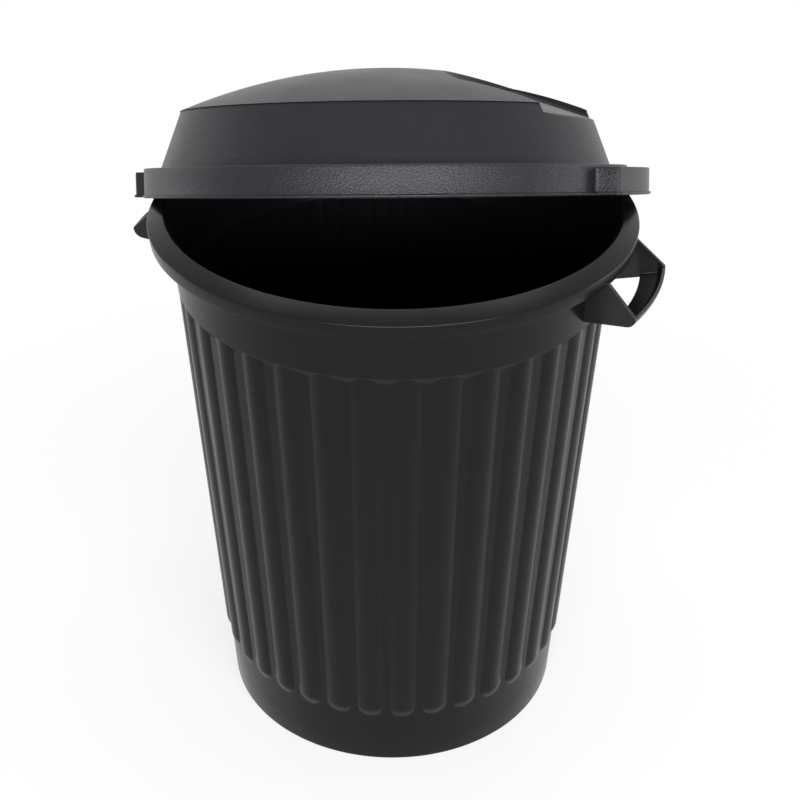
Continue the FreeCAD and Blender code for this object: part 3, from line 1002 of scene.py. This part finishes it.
@dataclass
class Lid:
    """The loose lid: skirt with two bays, cone wall, and a dome with two hand hollows."""

    shape: LidShape
    solid: bpy.types.Object
    material: bpy.types.Material

    def placement(self) -> Matrix:
        """Place of the leaning lid, with its turn from the lean and its centre from the solid.

        Returns:
            The matrix from the lid's frame to the row frame, in millimetres.
        """
        shape = self.shape
        turn = Matrix.Rotation(math.radians(shape.lean_turn), 4, "Z")
        roll = Matrix.Rotation(math.radians(shape.lean_roll), 4, "Y")
        tilt = Matrix.Rotation(-math.radians(shape.lean_angle), 4, "X")
        spin = turn @ roll @ tilt @ turn.inverted()
        back = spin.inverted()
        spots = [back @ (vertex.co / MM) for vertex in self.solid.data.vertices]
        low = Vector([min(spot[axis] for spot in spots) for axis in range(3)])
        high = Vector([max(spot[axis] for spot in spots) for axis in range(3)])
        centre = Vector(((low.x + high.x) / 2, (low.y + high.y) / 2, low.z))
        return spin @ Matrix.Translation(centre)

    def corner_spot(self, share: float, x: float) -> Point:
        """Point on the round corner between a hollow's floor and its side.

        Args:
            share: 0 at the floor, 1 where the corner runs out at the dome.
            x: Distance along the handles' axis.

        Returns:
            The point.
        """
        shape = self.shape

        def spot(angle: float) -> Point:
            """Point of the whole round corner."""
            y = shape.hollow_inner + shape.hollow_corner * math.sin(angle)
            return (x, y, shape.hollow(x, y) + shape.hollow_corner * (1 - math.cos(angle)))

        def above(angle: float) -> float:
            """Height of that point above the dome."""
            _, y, z = spot(angle)
            return z - shape.dome(min(math.hypot(x, y), shape.dome_radius))

        return spot(share * (solve(above, 0.0, math.pi / 2) if above(0.0) < 0 else 0.0))

    def wall_spot(self, x: float) -> Point:
        """Point on the upper edge of a hollow's side, on the dome.

        Args:
            x: Distance along the handles' axis.

        Returns:
            The point.
        """
        y = self.corner_spot(1.0, x)[1]
        return (x, y, self.shape.dome(math.hypot(x, y)))

    def break_out(self, spot: Callable[[float], Point]) -> float:
        """Distance along the handles' axis at which a line breaks out of the cone wall.

        Args:
            spot: Point of the line at a distance along that axis.

        Returns:
            The distance.
        """
        shape = self.shape

        def past_cone(x: float) -> float:
            """Distance of the line's point outside the cone wall."""
            here = spot(x)
            return math.hypot(here[0], here[1]) - shape.cone(here[2])

        return solve(past_cone, shape.hollow_width * SEARCH_SHARE, shape.cone_foot)

    def hollow_places(self, start: float, foot: float,
                      spot: Callable[[float], Point]) -> list[float]:
        """Where a mesh line along a hollow has its points.

        Args:
            start: Distance along the handles' axis at which the line leaves the dome.
            foot: Distance at which the hollow's end wall meets its floor.
            spot: Point of the line at a distance.

        Returns:
            Distances along the handles' axis, to where the line breaks out of the cone.
        """
        floor = steps(TOP_ROWS - END_ROWS, foot, self.break_out(spot))
        return steps(END_ROWS, start, foot)[:-1] + floor

    def hollow_line(self, places: list[float], spot: Callable[[float], Point]) -> list[Point]:
        """One mesh line from the lid's middle, along a hollow, to where it breaks out of the cone.

        Args:
            places: Distances along the handles' axis, from where the line leaves the dome.
            spot: Point of the line at a distance along that axis.

        Returns:
            The line's points.
        """
        knee = spot(places[0])
        line = []
        for share in steps(CENTRE_ROWS)[:-1]:
            reach = math.hypot(knee[0], knee[1]) * share
            line.append((knee[0] * share, knee[1] * share, self.shape.dome(reach)))
        return line + [spot(x) for x in places]

    def floor_line(self, y: float) -> list[Point]:
        """One mesh line of the top over a hollow's floor.

        Args:
            y: Distance from the handles' axis.

        Returns:
            The line's points.
        """
        shape = self.shape

        def spot(x: float) -> Point:
            """Point of the floor."""
            return (x, y, shape.hollow(x, y))

        def below(x: float) -> float:
            """Depth of the floor below the dome."""
            return shape.dome(math.hypot(x, y)) - shape.hollow(x, y)

        start = solve(below, shape.hollow_start * SEARCH_SHARE, shape.hollow_width)
        return self.hollow_line(self.hollow_places(start, shape.hollow_foot(y), spot), spot)

    def top_lines(self) -> list[list[Point]]:
        """Mesh lines over a quarter of the lid's top, from +X round to +Y.

        Returns:
            Lines of points from the lid's middle to the cone's upper edge.
        """
        shape = self.shape
        # One line of the floor ends where the bay's side does, so that the skirt can start there
        slope = math.tan(shape.bay_end)
        bay_y = solve(lambda y: y - self.floor_line(y)[-1][0] * slope, 0.0, shape.hollow_inner)
        floor = sorted([share * shape.hollow_inner for share in FLOOR_SHARES] + [bay_y])
        lines = [self.floor_line(y) for y in floor]
        start = lines[-1][CENTRE_ROWS][0]
        for share in CORNER_SHARES:
            corner = partial(self.corner_spot, share)
            places = self.hollow_places(start, shape.hollow_foot(shape.hollow_inner), corner)
            lines.append(self.hollow_line(places, corner))
        places[-1] = self.break_out(self.wall_spot)
        lines.append(self.hollow_line(places, self.wall_spot))
        edge = lines[-1][CENTRE_ROWS:]
        turns = [math.atan2(spot[1], spot[0]) for spot in edge]
        reaches = [math.hypot(spot[0], spot[1]) for spot in edge]
        for share in steps(DOME_COLUMNS)[1:]:
            first = blend(turns[0], math.pi / 2, share)
            inner = [reaches[0] * part for part in steps(CENTRE_ROWS)[:-1]]
            line = [polar(reach, first, shape.dome(reach)) for reach in inner]
            line += [polar(reach, blend(turn, math.pi / 2, share), shape.dome(reach))
                     for turn, reach in zip(turns, reaches)]
            lines.append(line)
        return lines

    def column_down(self, line: list[Point]) -> list[Point]:
        """Carry a mesh line of the top over its rounded edge, down the cone and over the ledge.

        Args:
            line: The line's points, from the lid's middle to the cone's upper edge.

        Returns:
            The whole line, down to the level of the bays' tops.
        """
        shape = self.shape
        turn = math.atan2(line[-1][1], line[-1][0])
        heights = steps(CONE_ROWS, line[-1][2], shape.skirt_height)
        cone = [(shape.cone(z), z) for z in heights]
        next_down = Vector(polar(cone[1][0], turn, cone[1][1]))
        edge = arc_at(Vector(line[-2]), Vector(line[-1]), next_down, shape.shoulder_edge, EDGE_ROWS)
        ledge = rounded([
            (*cone[-2], 0.0), (shape.cone_foot, shape.skirt_height, shape.edge),
            (shape.skirt_radius, shape.skirt_height, shape.edge),
            (shape.skirt_radius, shape.skirt_height - shape.bay_drop, 0.0)], EDGE_ARC)
        below = cone[1:-2] + ledge
        return line[:-1] + [tuple(spot) for spot in edge] + [polar(r, turn, z) for r, z in below]

    def skirt_levels(self) -> list[Spot]:
        """Levels down a bay or the skirt.

        Returns:
            Distance out from its wall, and height, from its rounded upper edge to its bead.
        """
        shape = self.shape
        top = shape.skirt_height - shape.bay_drop
        return rounded([
            (-shape.edge * 2, top, 0.0), (0.0, top, shape.edge), (0.0, top / 2, 0.0),
            (0.0, shape.bead_height + shape.bead_proud / 3, 0.6),
            (shape.bead_proud, shape.bead_height, 0.5), (shape.bead_proud, 0.0, 0.0)], EDGE_ARC)

    def bay_path(self, turns: list[float]) -> list[BaySpot]:
        """Line round half a bay, seen from above, from the handles' axis to the skirt.

        Args:
            turns: Azimuths of the mesh lines in front of the bay, in radians.

        Returns:
            The line's places.
        """
        shape = self.shape
        outer = shape.skirt_radius + shape.bay_depth
        face_end = shape.bay_side(outer) - shape.bay_corner * CORNER_RUN / outer
        end = (shape.bay_end - shape.bay_side(shape.skirt_radius)) * shape.skirt_radius
        bend = rounded([
            (-shape.bay_corner * 2, outer, 0.0), (0.0, outer, shape.bay_corner),
            (0.0, (outer + shape.skirt_radius) / 2, 0.0),
            (0.0, shape.skirt_radius, shape.bay_fillet), (end, shape.skirt_radius, 0.0)], BAY_ARC)
        path = [BaySpot(turn, outer, 1.0, 0.0) for turn in turns if turn < face_end]
        for index, (along, radius) in enumerate(bend):
            before = bend[max(index - 1, 0)]
            after = bend[min(index + 1, len(bend) - 1)]
            way = Vector((after[0] - before[0], after[1] - before[1])).normalized()
            path.append(BaySpot(shape.bay_side(radius) + along / radius, radius, way.x, -way.y))
        return path

    def bay_rows(self, path: list[BaySpot]) -> list[list[Point]]:
        """Rows down a bay's wall, with a rounded upper edge and the bead at its foot.

        Args:
            path: The line round the bay.

        Returns:
            Rows of points from the bay's top to its foot.
        """
        shape = self.shape
        rows = []
        for offset, z in self.skirt_levels():
            row = []
            for spot in path:
                # The rounded upper edge fades where the bay runs into the skirt
                fade = min(1.0, (spot.radius - shape.skirt_radius) / shape.bay_fillet / 2)
                shift = offset * (fade if offset < 0 else 1.0)
                reach = spot.radius + shift * spot.out
                row.append(polar(reach, spot.turn + shift * spot.around / reach, z))
            rows.append(row)
        return rows

    def build(self) -> bpy.types.Object:
        """Make the lid as a quarter, mirrored to the other three, thicken it inwards and dress it.

        Returns:
            The new object.
        """
        shape = self.shape
        lines = [self.column_down(line) for line in self.top_lines()]
        part = MeshBuilder()
        part.add_grid(lines)
        turns = [math.atan2(line[-1][1], line[-1][0]) for line in lines]
        levels = [(shape.skirt_radius + max(offset, 0.0), z) for offset, z in self.skirt_levels()]
        part.add_grid(swept(levels, [turn for turn in turns if turn > shape.bay_end - SAME_TURN]))
        bay = self.bay_rows(self.bay_path(turns))
        part.add_grid(bay)
        over = [polar(shape.skirt_radius, turn, bay[0][0][2])
                for turn in turns if turn < shape.bay_end + SAME_TURN]
        part.add_face(bay[0] + over[-2::-1])
        mirrors = [Matrix.Diagonal((x, y, 1, 1)) for x in (1, -1) for y in (1, -1)]
        lid = part.copies(mirrors).to_object("lid_moulding", self.placement(), LID_SHARP)
        shell = lid.modifiers.new("wall_thickness", "SOLIDIFY")
        shell.thickness = shape.wall * MM
        shell.offset = -1.0
        shell.use_quality_normals = True
        lid.data.materials.append(self.material)
        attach(lid, "lid")
        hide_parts("lid")
        return lid


# The place that every lamp is aimed at, in metres
LAMP_AIM = Vector((0.0, 0.0, 0.35))


@dataclass(frozen=True)
class Softbox:
    """A soft studio lamp: direction in degrees, distance and sides in metres, power in watts."""

    name: str
    azimuth: float
    elevation: float
    distance: float
    width: float
    height: float
    power: float

    def place(self) -> bpy.types.Object:
        """Add the lamp.

        Returns:
            The lamp's object.
        """
        data = bpy.data.lights.new(self.name, "AREA")
        data.shape = "RECTANGLE"
        data.size = self.width
        data.size_y = self.height
        data.energy = self.power
        lamp = bpy.data.objects.new(self.name, data)
        turn, rise = math.radians(self.azimuth), math.radians(self.elevation)
        flat = math.cos(rise)
        away = Vector((math.cos(turn) * flat, math.sin(turn) * flat, math.sin(rise)))
        lamp.location = LAMP_AIM + away * self.distance
        lamp.rotation_euler = away.to_track_quat("Z", "Y").to_euler()
        bpy.context.scene.collection.objects.link(lamp)
        return lamp


# The wide lamp by the camera lights the lid's skirt and cone and the front of the ribs, the rear
# one the dome, and the two small ones the ends of the lid and the ribs at the sides
SOFTBOXES = (
    Softbox("lamp_by_camera", azimuth=-61.0, elevation=17.0, distance=3.2,
            width=4.0, height=1.0, power=200.0),
    Softbox("lamp_rear_top", azimuth=112.0, elevation=66.0, distance=3.0,
            width=3.0, height=1.6, power=38.0),
    Softbox("lamp_left", azimuth=184.0, elevation=6.0, distance=2.6,
            width=0.5, height=0.9, power=6.0),
    Softbox("lamp_right", azimuth=30.0, elevation=6.0, distance=2.6,
            width=0.5, height=0.9, power=10.5),
)

# The photograph's viewpoint: place in metres, the direction it looks in and its upright
CAMERA_SPOT = Vector((0.5130, -1.2890, 1.2124))
CAMERA_AHEAD = Vector((-0.31028, 0.79258, -0.52492))
CAMERA_UP = Vector((-0.19634, 0.48685, 0.85114))
# Focal length and width of the film, in millimetres
CAMERA_LENS = 66.37
CAMERA_SENSOR = 36.0

WHITE = "#ffffff"
FLOOR_PAINT = "#f4f4f4"
# Half the floor's width, in metres
FLOOR_HALF = 30.0
# The floor's share of plain white, near the bin and far from it, and those distances in metres
GLOW_NEAR = 0.7
GLOW_FAR = 1.0
GLOW_START = 0.3
GLOW_END = 1.1
# Strength of the light that comes from all round
FILL = 0.3


def build_camera() -> None:
    """Put the camera where the photograph was taken from."""
    data = bpy.data.cameras.new("photo_camera")
    data.lens = CAMERA_LENS
    data.sensor_width = CAMERA_SENSOR
    camera = bpy.data.objects.new("photo_camera", data)
    side = CAMERA_AHEAD.cross(CAMERA_UP).normalized()
    upright = side.cross(CAMERA_AHEAD).normalized()
    axes = Matrix((side, upright, -CAMERA_AHEAD.normalized())).transposed().to_4x4()
    camera.matrix_world = Matrix.Translation(CAMERA_SPOT) @ axes
    bpy.context.scene.collection.objects.link(camera)
    bpy.context.scene.camera = camera


def seen_rays(tree: bpy.types.NodeTree) -> bpy.types.NodeSocket:
    """Tell the rays that show a background from those that light the object.

    Args:
        tree: The node tree of the background.

    Returns:
        A socket that is 1 for camera, glossy and transmission rays, and 0 for the rest.
    """
    path = add_node(tree, "LightPath", {})
    shiny = add_node(tree, "Math", {
        0: path.outputs["Is Glossy Ray"], 1: path.outputs["Is Transmission Ray"]}, operation="ADD")
    shown = add_node(tree, "Math", {
        0: path.outputs["Is Camera Ray"], 1: shiny.outputs[0]}, operation="ADD")
    return shown.outputs[0]


def build_floor() -> None:
    """Make the pale floor, which keeps the bin's shadow and fades into plain white around it."""
    mesh = bpy.data.meshes.new("studio_floor")
    half = FLOOR_HALF
    spots = [(-half, -half, 0.0), (half, -half, 0.0), (half, half, 0.0), (-half, half, 0.0)]
    mesh.from_pydata(spots, [], [(0, 1, 2, 3)])
    floor = bpy.data.objects.new("studio_floor", mesh)
    bpy.context.scene.collection.objects.link(floor)
    paint = bpy.data.materials.new("white_studio_floor")
    paint.use_nodes = True
    tree = paint.node_tree
    tree.nodes.clear()
    matt = add_node(tree, "BsdfDiffuse", {"Color": linear(FLOOR_PAINT)})
    white = add_node(tree, "Emission", {"Color": linear(WHITE), "Strength": 1.0})
    place = add_node(tree, "TexCoord", {}).outputs["Object"]
    away = add_node(tree, "VectorMath", {0: place}, operation="LENGTH")
    share = add_node(tree, "MapRange", {
        "Value": away.outputs["Value"], "From Min": GLOW_START, "From Max": GLOW_END,
        "To Min": GLOW_NEAR, "To Max": GLOW_FAR}, interpolation_type="SMOOTHSTEP")
    part = add_node(tree, "Math", {0: share.outputs[0], 1: seen_rays(tree)}, operation="MULTIPLY")
    both = add_node(tree, "MixShader", {
        0: part.outputs[0], 1: matt.outputs[0], 2: white.outputs[0]})
    add_node(tree, "OutputMaterial", {"Surface": both.outputs[0]})
    floor.data.materials.append(paint)


def build_surround() -> None:
    """Make the surround: white where it is seen, and a plain soft fill where it gives light."""
    world = bpy.data.worlds.new("white_studio")
    bpy.context.scene.world = world
    world.use_nodes = True
    tree = world.node_tree
    tree.nodes.clear()
    shown = seen_rays(tree)
    fill = add_node(tree, "Background", {"Color": linear(WHITE), "Strength": FILL})
    white = add_node(tree, "Background", {"Color": linear(WHITE), "Strength": 1.0})
    mixed = add_node(tree, "MixShader", {0: shown, 1: fill.outputs[0], 2: white.outputs[0]})
    add_node(tree, "OutputWorld", {"Surface": mixed.outputs[0]})


def main() -> None:
    """Build the whole scene: the object's pieces, the studio, the camera and the lamps."""
    logging.basicConfig(level=logging.INFO, format="%(name)s: %(message)s")
    tub_shape = TubShape()
    grip_plastic = HANDLE_PLASTIC.build()
    assemblies = [
        Tub(tub_shape, TUB_PLASTIC.build()),
        *(Handle(side, HandleShape(), tub_shape, grip_plastic) for side in Side),
        Lid(LidShape(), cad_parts["lid"], LID_PLASTIC.build()),
    ]
    for assembly in assemblies:
        piece = assembly.build()
        mesh = piece.data
        log.info("%s: %d points, %d faces", piece.name, len(mesh.vertices), len(mesh.polygons))
    build_floor()
    build_surround()
    build_camera()
    for softbox in SOFTBOXES:
        softbox.place()
    bpy.context.scene.view_settings.view_transform = "Standard"
    bpy.context.view_layer.update()


if __name__ == "__main__":
    main()
